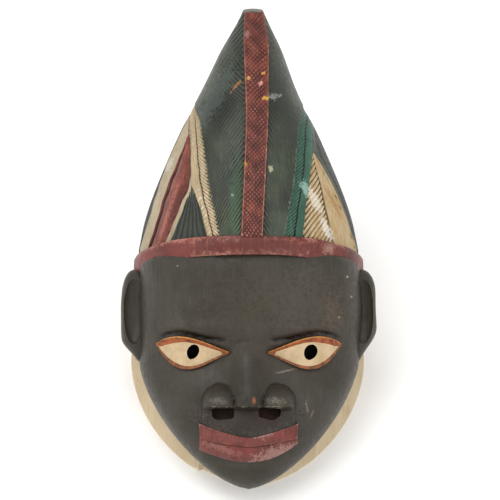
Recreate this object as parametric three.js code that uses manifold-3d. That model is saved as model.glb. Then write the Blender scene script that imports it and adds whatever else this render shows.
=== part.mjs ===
// A carved and painted wooden helmet mask: a broad face with drilled eyes under a tall, pointed,
// plaited headdress. One block of wood, hollowed from below to sit on the crown of a head.
// Millimetres. +X is to the right of someone facing the mask, +Y runs back from the chin, +Z is up.
// The mask rests on its flat rim at z = 0, so the face looks forward and up.
import * as THREE from "three";
import { mergeVertices } from "three/addons/utils/BufferGeometryUtils.js";
import Module from "manifold-3d";

const wasm = await Module();
wasm.setup();

// Most forms are laid out square to the face: x across it, "up" along it from the rim's front
// end, and "out" straight out of it. The face leans back so that "out" rises 50 degrees.
const faceRise = THREE.MathUtils.degToRad(50);
const rimFrontY = -152;
const faceHalf = 92;
const chinUp = -3.5;
const jawTopUp = 100;
const hairlineUp = 200;
const peakUp = 400;

const place = (x, up, out) =>
  new THREE.Vector3(
    x,
    rimFrontY + up * Math.sin(faceRise) - out * Math.cos(faceRise),
    up * Math.cos(faceRise) + out * Math.sin(faceRise),
  );
// How far back from the rim's front end a point of the face's own frame lies.
const backOf = (up, out) => up * Math.sin(faceRise) - out * Math.cos(faceRise);
const heightOf = (up, out) => up * Math.cos(faceRise) + out * Math.sin(faceRise);

const { clamp, lerp, smoothstep } = THREE.MathUtils;
const power = (v, e) => Math.sign(v) * Math.abs(v) ** e;
const bump = (v, middle, spread) => Math.exp(-(((v - middle) / spread) ** 2));

// A smooth line through a few [position, value] pairs.
function profile(pairs) {
  return (at) => {
    const last = pairs.length - 1;
    if (at <= pairs[0][0]) return pairs[0][1];
    if (at >= pairs[last][0]) return pairs[last][1];
    const i = pairs.findIndex((pair) => pair[0] > at) - 1;
    const slope = (a, b) => (pairs[b][1] - pairs[a][1]) / (pairs[b][0] - pairs[a][0]);
    const [x0, y0] = pairs[i];
    const [x1, y1] = pairs[i + 1];
    const m0 = slope(Math.max(i - 1, 0), i + 1);
    const m1 = slope(i, Math.min(i + 2, last));
    const span = x1 - x0;
    const t = (at - x0) / span;
    return (
      (2 * t ** 3 - 3 * t ** 2 + 1) * y0 +
      (t ** 3 - 2 * t ** 2 + t) * span * m0 +
      (3 * t ** 2 - 2 * t ** 3) * y1 +
      (t ** 3 - t ** 2) * span * m1
    );
  };
}

function solid(geometry) {
  geometry.deleteAttribute("normal");
  geometry.deleteAttribute("uv");
  const merged = mergeVertices(geometry, 1e-4);
  return new wasm.Manifold(
    new wasm.Mesh({
      numProp: 3,
      vertProperties: new Float32Array(merged.attributes.position.array),
      triVerts: new Uint32Array(merged.index.array),
    }),
  );
}

// A three.js geometry laid over a formula: each vertex goes where point(column, row, itself) says.
function formed(geometry, columns, rows, point) {
  const { position, uv } = geometry.attributes;
  for (let i = 0; i < position.count; i++) {
    const column = Math.round(uv.getX(i) * columns);
    const row = Math.round((1 - uv.getY(i)) * rows);
    const own = new THREE.Vector3().fromBufferAttribute(position, i);
    position.setXYZ(i, ...point(column, row, own));
  }
  return solid(geometry);
}
const skin = (columns, rows, point) =>
  formed(new THREE.SphereGeometry(1, columns, rows), columns, rows, point);
const blob = (columns, rows, point) => skin(columns, rows, (column, row, own) => point(own));

// A box whose front, sides and back are bent to point(across -1..1, along 0..1, front or not).
function slab(across, along, point) {
  const box = new THREE.BoxGeometry(2, 1, 1, across, along, 1);
  return formed(box, 1, 1, (column, row, own) =>
    point(clamp(own.x, -1, 1), clamp(own.y + 0.5, 0, 1), own.z > 0),
  );
}

// Everything under the line z = height(y), as a prism wider and longer than the mask.
function below(height) {
  const [front, back, step, floor, half] = [-90, 360, 6, -120, 160];
  const shape = new THREE.Shape().moveTo(back, floor);
  for (let y = back; y >= front; y -= step) shape.lineTo(y, height(y));
  shape.lineTo(front, floor);
  const prism = new THREE.ExtrudeGeometry(shape, { depth: 2 * half, bevelEnabled: false });
  const turn = new THREE.Matrix4().makeBasis(
    new THREE.Vector3(0, 1, 0),
    new THREE.Vector3(0, 0, 1),
    new THREE.Vector3(1, 0, 0),
  );
  return solid(prism.applyMatrix4(turn).translate(-half, rimFrontY, 0));
}

// The face's form without its features: how wide and how deep it is at each level.
const faceFront = profile([
  [chinUp, 30], [1, 40], [9, 46], [30, 50], [65, 51], [100, 48],
  [135, 55], [165, 59], [190, 58], [215, 46], [245, 12],
]);
function headAt(up) {
  const jaw = clamp((jawTopUp - up) / (jawTopUp - chinUp), 0, 1);
  const share = (1 - jaw ** 1.5) ** (1 / 1.5);
  const crown = smoothstep(up, hairlineUp, hairlineUp + 50);
  const half = faceHalf * share * (1 - 0.4 * crown);
  const middle = lerp(30, -12, share ** 1.5);
  return { half, middle, front: faceFront(up) - middle, back: 122 * share * (1 - 0.35 * crown) };
}
const faceSquare = 2.4;

// What the carver left standing or took away on the face: [amount, x, up, x spread, up spread].
const modelling = [
  [3.5, 44, 129, 30, 7],
  [-6, 46, 112, 30, 15],
  [3, 52, 76, 24, 20],
  [6, 0, 40, 42, 22],
  [-3, 0, 13, 22, 6],
  [2, 0, 120, 12, 12],
];
const modelled = (x, up) =>
  modelling.reduce(
    (sum, [amount, atX, atUp, wide, tall]) =>
      sum + amount * bump(Math.abs(x), atX, wide) * bump(up, atUp, tall),
    0,
  );
function faceOut(x, up) {
  const { half, middle, front } = headAt(up);
  const away = Math.max(1 - (Math.abs(x) / half) ** faceSquare, 0) ** (1 / faceSquare);
  return middle + front * away + modelled(x, up);
}

// The line along the temples, behind the ears and round the nape where the red band runs.
const napeHeight = 33;
const bandSlope = 1.84;
const bandTurnY = 187;
const bandTurnSoftness = 14;
const bandLine = (y) =>
  napeHeight +
  bandSlope * bandTurnSoftness * Math.log(1 + Math.exp((bandTurnY - y) / bandTurnSoftness));

// The lower edge of the face, along the jaw to behind the ears, and on round the nape.
function jawLine(y) {
  const [topY, top, chinHeight, nape] = [105, 54, 17, 50];
  const drop = clamp((topY - y) / 130, 0, 2);
  return y < topY
    ? top - (top - chinHeight) * drop ** 1.3
    : top - (top - nape) * smoothstep(y, topY, topY + 100);
}

const headColumns = 46;
const headRows = 38;
const headTopUp = 250;
// How far the top of the head stays inside the headdress that covers it.
const tuckedIn = 9;
const headForm = skin(headColumns, headRows, (column, row) => {
  const run = row / headRows;
  const up = lerp(headTopUp, chinUp, run < 1 ? run ** 0.9 : 1);
  const turn = lerp(-Math.PI, Math.PI, column / headColumns);
  // Columns gather at the corners of the squarish section.
  const angle = turn - 0.22 * Math.sin(2 * turn);
  const { half, middle, front, back } = headAt(up);
  const crownRun = Math.min(run * 8, 1);
  const reach = Math.sqrt(1 - (1 - crownRun) ** 2);
  const x = half * reach * power(Math.sin(angle), 2 / faceSquare);
  const facing = power(Math.cos(angle), 2 / faceSquare) * reach;
  const out = middle + (facing > 0 ? front : back) * facing;
  const under = tuckedIn * smoothstep(heightOf(up, out) - bandLine(backOf(up, out)), -8, 10);
  const fade = clamp(facing * 2, 0, 1) * Math.min((1 - run) * 12, 1);
  return place(x * (1 - under / faceHalf), up, out + modelled(x, up) * fade - facing * under);
}).subtract(below(jawLine));

// The headdress: half width, front and back of each level, and how far it leans to the right.
const hairHalf = profile([
  [195, 91.5], [220, 85.8], [254, 74], [297, 55], [322, 41], [347, 29.6], [381, 15], [peakUp, 7.5],
]);
const hairLean = (up) => 3.7 * smoothstep(up, 310, peakUp);
const shareOf = (up) => clamp((peakUp - up) / (peakUp - hairlineUp), 0, 1);
function hairAt(up) {
  const share = shareOf(up);
  const swell = 1 - (1 - share) ** 2;
  const middle = -23 - 2 * share;
  const front = -14 + 74 * swell;
  const back = -32 - 106 * swell;
  return { half: hairHalf(up), lean: hairLean(up), middle, front: front - middle, back: middle - back };
}
// The crest wanders a little, as it was carved by eye.
const crestHalf = 9.3;
const crestStands = 4.5;
const crestX = profile([[195, 3.2], [290, 7.2], [peakUp, 5.5]]);
// Edges of the carved leaves as [up, distance], left and right of the face's middle.
const leftEdges = {
  leaf: profile([[195, 21], [257, 33.2], [311, 39.6]]),
  band: profile([[195, 31], [232, 39.6], [250, 45.6], [292, 47]]),
  panel: profile([[197, 81.8], [252, 64.2], [292, 48]]),
};
const rightEdges = {
  leaf: profile([[195, 27], [256, 37.1], [311, 40.7]]),
  band: profile([[195, 42], [264, 50.5], [276, 52]]),
  panel: profile([[197, 88.7], [240, 73], [276, 53]]),
};
const leafStands = 3.2;
const bandStands = 1.6;
// Above the silhouette's shoulder the leaves swing round to the back crest between these levels.
const swingFrom = 300;
const swingTo = 375;
// The last edge of the carving on the side, as an angle, and the width of the back crest's flank.
const flankAngle = 2.3;
const backStep = 0.03;
// Columns of the mesh from each edge of the carving to the next, crest's middle to nape.
const hairSteps = [1, 1, 6, 1, 2, 1, 2, 1, 2, 3, 3, 1, 1];

// The edges of the carving round one side at one level, as [angle, how far the wood stands out].
function hairEdges(up, side) {
  const { half, lean } = hairAt(up);
  const { leaf, band, panel } = side < 0 ? leftEdges : rightEdges;
  const step = 0.7;
  const backCrest = Math.PI - Math.asin(clamp(crestHalf / half, 0, 0.98));
  const flat = (distance) => Math.asin(clamp((distance - side * lean) / half, -1, 0.97));
  const swung = (distance) => lerp(flat(distance), backCrest, smoothstep(up, swingFrom, swingTo));
  const sunk = bandStands * smoothstep(up, 296, 278);
  const crest = side * crestX(up) + crestHalf;
  const edges = [
    [flat(side * crestX(up)), leafStands + crestStands],
    [flat(crest), leafStands + crestStands],
    [flat(crest + step), leafStands],
    [swung(leaf(up) - step), leafStands],
    [swung(leaf(up)), bandStands],
    [swung(band(up)), bandStands],
    [swung(band(up) + step), bandStands - sunk],
    [swung(panel(up)), bandStands - sunk],
    [swung(panel(up) + step), bandStands],
    [Math.PI / 2, bandStands],
    [flankAngle, bandStands],
    [backCrest - backStep, bandStands],
    [backCrest, bandStands + crestStands],
    [Math.PI, bandStands + crestStands],
  ];
  // Neighbouring edges stay apart, and none passes the back crest.
  const gap = 0.01;
  for (let i = 1; i < edges.length - 2; i++) {
    const room = backCrest - gap * (edges.length - 2 - i);
    edges[i][0] = Math.min(Math.max(edges[i][0], edges[i - 1][0] + gap), room);
  }
  return edges;
}
const hairSide = hairSteps.reduce((a, b) => a + b);

const hairRows = 28;
const hairFootUp = 120;
// The blunt top is cut on a slope that shows from the front.
const peakSlope = 2.5;
const hairForm = skin(2 * hairSide, hairRows, (column, row) => {
  const run = clamp((row - 1) / (hairRows - 2), 0, 1);
  const up = lerp(peakUp, hairFootUp, run ** 1.12);
  const side = column < hairSide ? -1 : 1;
  const edges = hairEdges(up, side);
  let at = Math.abs(column - hairSide);
  let k = 0;
  while (k < hairSteps.length - 1 && at > hairSteps[k]) at -= hairSteps[k++];
  const angle = side * lerp(edges[k][0], edges[k + 1][0], at / hairSteps[k]);
  const stands = smoothstep(shareOf(up), 0, 0.2) * lerp(edges[k][1], edges[k + 1][1], at / hairSteps[k]);
  const { half, lean, middle, front, back } = hairAt(up);
  const reach = row === 0 || row === hairRows ? 0 : 1;
  const facing = Math.cos(angle) * reach;
  const x = lean + (half + stands) * Math.sin(angle) * reach;
  const out = middle + ((facing > 0 ? front : back) + stands) * facing;
  return place(x, up - peakSlope * facing * smoothstep(up, peakUp - 30, peakUp), out);
}).subtract(below(bandLine));

// The red band is a raised fillet that follows bandLine round the whole head.
const bandHalf = 7;
const bandColumns = 64;
function onBand(angle) {
  const at = (up) => {
    const { half, middle, front, back } = hairAt(up);
    const facing = Math.cos(angle);
    return { up, x: half * Math.sin(angle), out: middle + (facing > 0 ? front : back) * facing };
  };
  let [low, high] = [130, 250];
  for (let i = 0; i < 30; i++) {
    const trial = at((low + high) / 2);
    const over = heightOf(trial.up, trial.out) > bandLine(backOf(trial.up, trial.out));
    if (over) high = trial.up;
    else low = trial.up;
  }
  const { x, up, out } = at(low);
  return place(x, up, out);
}
const bandSection = [[5, 0], [4.2, 0.8], [-7, 1], [-7, -1], [4.2, -0.8]];
const bandRing = formed(
  new THREE.TorusGeometry(1, 0.3, bandSection.length, bandColumns),
  bandColumns,
  bandSection.length,
  (column, row) => {
    const angle = (2 * Math.PI * (column % bandColumns)) / bandColumns;
    const here = onBand(angle);
    const along = onBand(angle + 0.03).sub(onBand(angle - 0.03)).normalize();
    const outward = place(Math.sin(angle), 0, Math.cos(angle)).sub(place(0, 0, 0));
    const upward = outward.clone().cross(along).normalize();
    const normal = along.clone().cross(upward);
    const around = (bandSection.length - row) % bandSection.length;
    const [stands, rise] = bandSection[around];
    return here.addScaledVector(normal, stands).addScaledVector(upward, rise * bandHalf);
  },
);

// The rim's outline, an egg with its narrow end under the chin, drawn in by "inset".
const rim = { x: -0.8, half: 101, widestY: 130, front: 137, back: 118, frontPower: 1.8, backPower: 2.2 };
function rimPoint(angle, inset, height) {
  const facing = Math.cos(angle);
  const e = 2 / (facing > 0 ? rim.frontPower : rim.backPower);
  const length = (facing > 0 ? rim.front : rim.back) - inset;
  const x = rim.x + (rim.half - inset) * power(Math.sin(angle), e);
  return new THREE.Vector3(x, rimFrontY + rim.widestY - length * power(facing, e), height);
}
// The collar flares out to the rim: [height, inset] between two middles, and it ends inside the head.
const collarLevels = [[58, 60], [58, 32], [51, 20], [30, 13.5], [17, 8.5], [8, 4], [3, 0.6], [0, 0], [0, 60]];
const collarColumns = 48;
const collar = skin(collarColumns, collarLevels.length - 1, (column, row) => {
  const [height, inset] = collarLevels[row];
  const atPole = row === 0 || row === collarLevels.length - 1;
  if (atPole) return new THREE.Vector3(rim.x, rimFrontY + rim.widestY, height);
  return rimPoint(lerp(-Math.PI, Math.PI, column / collarColumns), inset, height);
});

// The hollow's front, back and half width at each height, behind walls of about 15 mm.
const hollowTop = 172;
const hollowFloor = -12;
function hollowAt(height) {
  const h = Math.max(height, 0);
  const front = Math.max(24, 1.19 * h - 46);
  const back = 157 + 64 * Math.sqrt(1 - (h / (hollowTop + 5)) ** 3);
  return { front, back, half: 78 * Math.sqrt(Math.max(1 - (h / (hollowTop + 3)) ** 3, 0)) };
}
const hollowRows = 13;
const hollowColumns = 30;
const hollow = skin(hollowColumns, hollowRows, (column, row) => {
  const run = clamp((row - 1) / (hollowRows - 2), 0, 1);
  const height = lerp(hollowTop, hollowFloor, run);
  const { front, back, half } = hollowAt(height);
  const angle = lerp(-Math.PI, Math.PI, column / hollowColumns);
  const reach = row === 0 || row === hollowRows ? 0 : 1;
  const y = (front + back - (back - front) * power(Math.cos(angle), 0.95) * reach) / 2;
  return new THREE.Vector3(half * power(Math.sin(angle), 0.95) * reach, rimFrontY + y, height);
});

// An ear is a squarish cup, pointed below, with a hollow that opens outwards and forwards.
const earCup = { x: 91, up: 140, out: -9, half: 17.3, tall: 39, thick: 17, pointed: 0.62 };
const earBowl = { x: 101, up: 143, out: 5, half: 8.5, tall: 28, deep: 13, turned: 2.5 };
function ear(side) {
  // The left ear stays square further down than the right one.
  const taperFrom = side < 0 ? 0.4 : 0.15;
  const cup = blob(18, 14, (own) => {
    const taper = 1 - earCup.pointed * smoothstep(-own.y, taperFrom, 1);
    const x = earCup.x + earCup.half * power(own.x * side, 0.6) * taper;
    const up = earCup.up + earCup.tall * power(own.y, 0.75);
    return place(side * x, up, earCup.out + earCup.thick * power(own.z, 0.85));
  });
  const bowl = blob(12, 8, (own) => {
    const x = earBowl.x + earBowl.half * own.x * side + earBowl.turned * own.z;
    return place(side * x, earBowl.up + earBowl.tall * own.y, earBowl.out + earBowl.deep * own.z);
  });
  return cup.subtract(bowl);
}

// An eye is a lens: a shallow arch above the line of its corners and a deep one below.
// It is fuller towards the temple.
const eye = {
  x: 46.5,
  up: 113.6,
  tilt: 3.2,
  half: 30,
  above: 8,
  below: 16,
  fuller: 0.55,
  bulge: 6,
  stands: 2,
};
// The back of each raised feature lies this far inside the face.
const rooted = 8;
// Both pupils look a little to the right.
const pupil = { x: 48.7, shift: 2.6, up: 110.6, radius: 5.6, deep: 11 };
function eyeForm(side) {
  return skin(20, 8, (column, row, own) => {
    const reach = Math.min(Math.hypot(own.x, own.z), 1);
    const angle = Math.atan2(-own.z, own.x);
    const across = Math.cos(angle) * reach;
    const fuller = 1 + eye.fuller * across * side;
    const arch = Math.sin(angle) * Math.abs(Math.sin(angle)) * reach * fuller;
    const x = side * eye.x + eye.half * across;
    const up = eye.up + eye.tilt * across * side + arch * (arch > 0 ? eye.above : eye.below);
    const front = eye.stands + eye.bulge * (1 - reach ** 2);
    return place(x, up, faceOut(x, up) + (own.y >= -0.01 ? front : -rooted));
  });
}
function pupilHole(side) {
  const length = 44;
  const drill = new THREE.CylinderGeometry(pupil.radius, pupil.radius, length, 14);
  drill.rotateX(Math.PI - faceRise);
  const x = side * pupil.x + pupil.shift;
  const at = place(x, pupil.up, faceOut(x, pupil.up) - pupil.deep + length / 2);
  return solid(drill.translate(at.x, at.y, at.z));
}

// The lips are two faceted bars with blunt ends, meeting in a shallow V.
const mouth = {
  half: 40.8,
  top: 41,
  topRise: 11,
  parting: 31,
  partingRise: 10,
  bottom: 20.6,
  bottomRise: 16.3,
  // The upper lip laps over the lower one.
  lapped: 0.7,
};
function lip(upper) {
  const parting = (s) => mouth.parting + mouth.partingRise * Math.abs(s) ** 1.4;
  const top = (s) => mouth.top + mouth.topRise * Math.abs(s) ** 1.4;
  const bottom = (s) => mouth.bottom + mouth.bottomRise * Math.abs(s) ** 1.6;
  return slab(14, 4, (s, t, front) => {
    const x = mouth.half * s;
    const up = upper ? lerp(parting(s) - mouth.lapped, top(s), t) : lerp(bottom(s), parting(s), t);
    const ridge = upper ? 10.5 - 3.5 * t ** 1.4 : 4 + 6.5 * Math.sin(Math.PI * (0.15 + 0.62 * t));
    const stands = ridge * (1 - 0.4 * s * s);
    return place(x, up, faceOut(x, up) + (front ? stands : -rooted));
  });
}

// The muzzle stands out from under the nose to behind the lips.
const muzzle = { half: 40.5, topHalf: 37, low: 38, high: 65, stands: 5 };
const muzzleForm = slab(10, 2, (s, t, front) => {
  const x = s * lerp(muzzle.half, muzzle.topHalf, t);
  const up = lerp(muzzle.low, muzzle.high, t);
  return place(x, up, faceOut(x, up) + (front ? muzzle.stands * (1 - 0.35 * s * s) : -rooted));
});

// The nose is a broad wedge with a round wing each side, cut off flat below.
const nose = {
  baseUp: 66.6,
  length: 59,
  height: 24,
  half: 39.5,
  rootHalf: 13,
  bridgeHalf: 12.5,
  sunk: 3,
  undercut: 9,
};
const wing = { x: 23.5, up: 68.6, half: 16, tall: 16.5, stands: 19 };
function noseHeight(x, up) {
  const t = clamp((up - nose.baseUp) / nose.length, 0, 1);
  const wedge = nose.height * Math.cos((Math.PI / 2) * t) ** 1.2 * (1 - 0.14 * bump(t, 0, 0.1));
  const bridge = wedge / (1 + (Math.abs(x) / nose.bridgeHalf) ** 3);
  const off = ((Math.abs(x) - wing.x) / wing.half) ** 2 + ((up - wing.up) / wing.tall) ** 2;
  const dome = wing.stands * Math.sqrt(Math.max(1 - off, 0));
  return Math.max(bridge, dome) + 0.12 * Math.min(bridge, dome);
}
const noseForm = slab(22, 11, (s, t, front) => {
  const half = lerp(nose.half, nose.rootHalf, smoothstep(t, 0.28, 0.75));
  const x = half * power(s, 0.9);
  const up = nose.baseUp + nose.length * t;
  if (!front) return place(x, up - nose.undercut * (1 - t) ** 3, faceOut(x, up) - rooted);
  return place(x, up, faceOut(x, up) + noseHeight(x, up) - nose.sunk);
});
// A nostril is a slot in the slanting underside of the nose.
const slot = { x: 19, shift: -2, wide: 21, tall: 6.5, deep: 22, out: 3 };
function nostril(side) {
  const box = new THREE.BoxGeometry(slot.wide, slot.deep, slot.tall).rotateX(Math.PI / 2 - faceRise);
  const up = nose.baseUp - 0.6 - slot.tall / 2;
  const at = place(side * slot.x + slot.shift, up, faceOut(slot.x, up) + slot.out);
  return solid(box.translate(at.x, at.y, at.z));
}

const added = [collar, hairForm, bandRing, muzzleForm, noseForm, lip(true), lip(false)];
for (const side of [-1, 1]) added.push(ear(side), eyeForm(side));
const removed = [hollow];
for (const side of [-1, 1]) removed.push(pupilHole(side), nostril(side));
const carved = removed.reduce(
  (whole, cut) => whole.subtract(cut),
  added.reduce((whole, form) => whole.add(form), headForm),
);

// The largest piece is the mask: a cut can leave a loose sliver beside it.
const [wood] = carved.decompose().sort((a, b) => b.volume() - a.volume());
const { vertProperties, triVerts } = wood.getMesh();
const shell = new THREE.BufferGeometry();
shell.setAttribute("position", new THREE.BufferAttribute(vertProperties, 3));
shell.setIndex(new THREE.BufferAttribute(triVerts, 1));
shell.computeVertexNormals();

const paintedWood = new THREE.MeshStandardMaterial({ color: "#4a453f", roughness: 0.62, metalness: 0 });
const mask = new THREE.Mesh(shell, paintedWood);
mask.name = "mask";

const part = new THREE.Group();
part.add(mask);
export default part;
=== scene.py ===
# A gelede helmet mask: carved from one block of wood and painted, shown resting on its rim.
import math

import bpy
import numpy as np
from mathutils import Matrix, Vector


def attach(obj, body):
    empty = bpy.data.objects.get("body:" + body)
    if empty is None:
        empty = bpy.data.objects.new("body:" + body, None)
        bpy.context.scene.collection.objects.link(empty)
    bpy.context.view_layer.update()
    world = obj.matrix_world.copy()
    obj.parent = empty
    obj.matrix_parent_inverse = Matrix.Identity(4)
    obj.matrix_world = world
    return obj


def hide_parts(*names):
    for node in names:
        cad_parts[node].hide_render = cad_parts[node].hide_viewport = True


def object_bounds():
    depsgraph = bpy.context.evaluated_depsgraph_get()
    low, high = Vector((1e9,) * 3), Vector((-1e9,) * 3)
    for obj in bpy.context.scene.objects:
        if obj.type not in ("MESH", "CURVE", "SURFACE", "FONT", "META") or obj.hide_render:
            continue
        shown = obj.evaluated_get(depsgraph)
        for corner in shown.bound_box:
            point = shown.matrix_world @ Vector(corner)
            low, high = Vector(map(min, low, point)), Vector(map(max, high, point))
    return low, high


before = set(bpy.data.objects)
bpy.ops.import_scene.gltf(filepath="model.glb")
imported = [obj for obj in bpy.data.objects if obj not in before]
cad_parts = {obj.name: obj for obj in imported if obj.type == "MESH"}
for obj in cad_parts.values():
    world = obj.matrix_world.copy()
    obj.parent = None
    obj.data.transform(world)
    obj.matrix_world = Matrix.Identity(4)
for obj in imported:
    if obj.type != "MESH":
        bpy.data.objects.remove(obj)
cadLow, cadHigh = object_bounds()
bpy.ops.object.select_all(action="DESELECT")
print("frame loaded")

# Lengths below are millimetres. x runs across the face, up along it from the rim's front end, and
# out straight out of it. The face leans back, so out rises 50 degrees.
mm = 0.001
faceRise = math.radians(50)
leanBack = math.pi / 2 - faceRise
chinOverhang = 24.95
rimFront = cadLow.y / mm + chinOverhang
peakUp = 397.8


def place(x, up, out):
    x, up, out = np.broadcast_arrays(x, up, out)
    y = rimFront + up * math.sin(faceRise) - out * math.cos(faceRise)
    z = up * math.cos(faceRise) + out * math.sin(faceRise)
    return np.stack([x, y, z], axis=-1) * mm


def backOf(up, out):
    return up * math.sin(faceRise) - out * math.cos(faceRise)


def heightOf(up, out):
    return up * math.cos(faceRise) + out * math.sin(faceRise)


def smoothstep(v, a, b):
    t = np.clip((v - a) / (b - a), 0, 1)
    return t * t * (3 - 2 * t)


def power(v, e):
    return np.sign(v) * np.abs(v) ** e


def bump(v, middle, spread):
    return np.exp(-(((v - middle) / spread) ** 2))


def mix(a, b, t):
    return a + (b - a) * t


def smoothLine(*pairs):
    # a smooth line through a few (position, value) pairs
    at, value = np.array(pairs, float).T
    span = np.diff(at)
    slope = np.empty_like(at)
    slope[1:-1] = (value[2:] - value[:-2]) / (at[2:] - at[:-2])
    slope[[0, -1]] = (value[1] - value[0]) / span[0], (value[-1] - value[-2]) / span[-1]

    def line(v):
        v = np.clip(v, at[0], at[-1])
        i = np.clip(np.searchsorted(at, v, side="right") - 1, 0, len(at) - 2)
        t = (v - at[i]) / span[i]
        start = (2 * t**3 - 3 * t**2 + 1) * value[i] + (t**3 - 2 * t**2 + t) * span[i] * slope[i]
        end = (3 * t**2 - 2 * t**3) * value[i + 1] + (t**3 - t**2) * span[i] * slope[i + 1]
        return start + end

    return line


def waver(a, b, seed):
    # a slow unevenness between -1 and 1, as a hand leaves it
    first = np.sin(a * 1.0 + 2.1 * seed + 1.3 * np.sin(b * 0.7 + seed))
    second = np.sin(b * 1.1 - 1.7 * seed + 1.1 * np.sin(a * 0.83 + 3.1 * seed))
    return 0.5 * (first + second)


# Paints, in the order of the mask's material slots.
paints = [
    "blackFace", "greenLeaf", "creamFeather", "creamBand", "redCrest", "redPanel", "redBand", "tealFeather",
    "tanPanel", "creamCollar", "redLips", "orangeLid", "lidLine", "whiteEye", "bareWood", "sootyHoleShade",
]
paintNumber = {name: i for i, name in enumerate(paints)}
for name in paints:
    bpy.data.materials.new(name)


def vectorsOf(parts, key):
    flat = np.empty(len(parts) * 3, np.float32)
    parts.foreach_get(key, flat)
    return flat.reshape(-1, 3).astype(float)


def corners(piece):
    return vectorsOf(piece.data.vertices, "co")


def putCorners(piece, co):
    piece.data.vertices.foreach_set("co", np.asarray(co, np.float32).ravel())
    piece.data.update()


def painted(piece, name, number):
    # every form carries all the paints, so joining two forms keeps the numbers right
    piece.name = name
    for paint in paints:
        piece.data.materials.append(bpy.data.materials[paint])
    number = np.broadcast_to(number, len(piece.data.polygons))
    piece.data.polygons.foreach_set("material_index", np.asarray(number, np.int32))
    piece.data.attributes.new("cut", "FLOAT", "POINT")
    return piece


def ballForm(name, columns, rows, point, paint):
    # a ball whose corner in each column and row goes where point says; columns divides by four
    bpy.ops.mesh.primitive_uv_sphere_add(segments=columns, ring_count=rows, radius=1)
    piece = bpy.context.object
    own = corners(piece)
    centres = vectorsOf(piece.data.polygons, "center")

    def gridOf(v):
        length = np.linalg.norm(v, axis=1)
        turn = np.arctan2(v[:, 0], -v[:, 1])
        column = (turn + math.pi) / (2 * math.pi) * columns
        return column, np.arccos(np.clip(v[:, 2] / length, -1, 1)) / math.pi * rows

    # a fourth number from point is how deep in a groove the corner lies, which the paint reads
    column, row = (np.round(v) for v in gridOf(own))
    shape = point(column, row, own)
    putCorners(piece, shape[:, :3])
    if isinstance(paint, str):
        painted(piece, name, paintNumber[paint])
    else:
        column, row = gridOf(centres)
        painted(piece, name, paint(np.floor(column), np.floor(row)))
    if shape.shape[1] == 4:
        piece.data.attributes["cut"].data.foreach_set("value", np.clip(shape[:, 3], 0, 1).astype(np.float32))
    return piece


def blobForm(name, columns, rows, point, paint):
    return ballForm(name, columns, rows, lambda column, row, own: point(*own.T), paint)


def slabForm(name, across, along, point, paint):
    # a sheet thickened to a slab; point gets its place across -1..1, along 0..1, and which side it is
    bpy.ops.mesh.primitive_grid_add(x_subdivisions=across, y_subdivisions=along, size=2)
    piece = bpy.context.object
    bpy.ops.object.mode_set(mode="EDIT")
    bpy.ops.mesh.select_all(action="SELECT")
    bpy.ops.mesh.extrude_region_move(TRANSFORM_OT_translate={"value": (0, 0, -1)})
    bpy.ops.mesh.select_all(action="SELECT")
    bpy.ops.mesh.normals_make_consistent(inside=False)
    bpy.ops.object.mode_set(mode="OBJECT")
    own = corners(piece)
    putCorners(piece, point(own[:, 0], (own[:, 1] + 1) / 2, own[:, 2] > -0.5))
    return painted(piece, name, paintNumber[paint])


def unit(v):
    return v / np.linalg.norm(v, axis=1)[:, None]


def selectOnly(piece):
    bpy.ops.object.select_all(action="DESELECT")
    bpy.context.view_layer.objects.active = piece
    piece.select_set(True)


def combine(whole, form, operation):
    # joins the form to the whole or cuts it away, and uses it up
    selectOnly(whole)
    bpy.ops.object.modifier_add(type="BOOLEAN")
    step = whole.modifiers[-1]
    step.operation = operation
    step.solver = "MANIFOLD"
    step.object = form
    bpy.ops.object.modifier_apply(modifier=step.name)
    bpy.data.objects.remove(form)


def below(line, paint):
    # everything under the line z = height(y), as a slab across the whole mask
    front, back, half, floor = -90, 360, 160, -120

    def point(s, t, top):
        y = mix(front, back, t)
        return np.stack([half * s, rimFront + y, np.where(top, line(y), floor)], axis=-1) * mm

    return slabForm("below", 1, 150, point, paint)


# The face and the head behind it.
head = {
    "columns": 168,
    "rows": 130,
    "half": 92,
    "chinUp": -3.5,
    "jawTopUp": 100,
    "hairlineUp": 200,
    "topUp": 250,
    "square": 2.4,
    "depth": 122,
    "tuckedIn": 9,  # how far the head stays under the headdress
    "fullerRight": 3.5,  # the right temple is a little fuller
}
# The face's profile from below the chin to under the headdress, as (up, out).
faceFront = smoothLine(
    (-3.5, 30), (1, 40), (9, 46), (30, 50), (65, 51), (100, 48),
    (135, 55), (165, 59), (190, 58), (215, 46), (245, 12),
)
# What the carver left standing or took away: amount, x, up, x spread, up spread.
modelling = [
    (3.5, 44, 129, 30, 7),
    (-6, 46, 112, 30, 15),
    (3, 52, 76, 24, 20),
    (6, 0, 40, 42, 22),
    (-3, 0, 13, 22, 6),
    (2, 0, 120, 12, 12),
]
# The eye's opening: where its middle is, how its corners climb, and how high its edges arch.
eye = {
    "x": 46.5,
    "up": 113.6,
    "tilt": 3.2,
    "half": 30,
    "above": 8,
    "below": 16,
    "fuller": 0.55,
    "bulge": 6,
    "stands": 2,
}
# its dirt sets how dark the crease is painted: painted shade along the carved crease, with dirt in it
crease = {"above": 3.8, "opens": 7, "deep": 2.8, "wide": 1.7, "dirt": 1.1}
rooted = 8  # the back of each raised feature lies this far inside the face


def headAt(up):
    jaw = np.clip((head["jawTopUp"] - up) / (head["jawTopUp"] - head["chinUp"]), 0, 1)
    share = (1 - jaw**1.5) ** (1 / 1.5)
    crown = smoothstep(up, head["hairlineUp"], head["hairlineUp"] + 50)
    half = head["half"] * share * (1 - 0.4 * crown)
    middle = mix(30, -12, share**1.5)
    return half, middle, faceFront(up) - middle, head["depth"] * share * (1 - 0.35 * crown)


def eyeArch(t):
    # how high the lid arches, fuller towards the temple, where t is 1
    return np.maximum(1 - t**2, 0) * (1 + eye["fuller"] * t)


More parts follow.
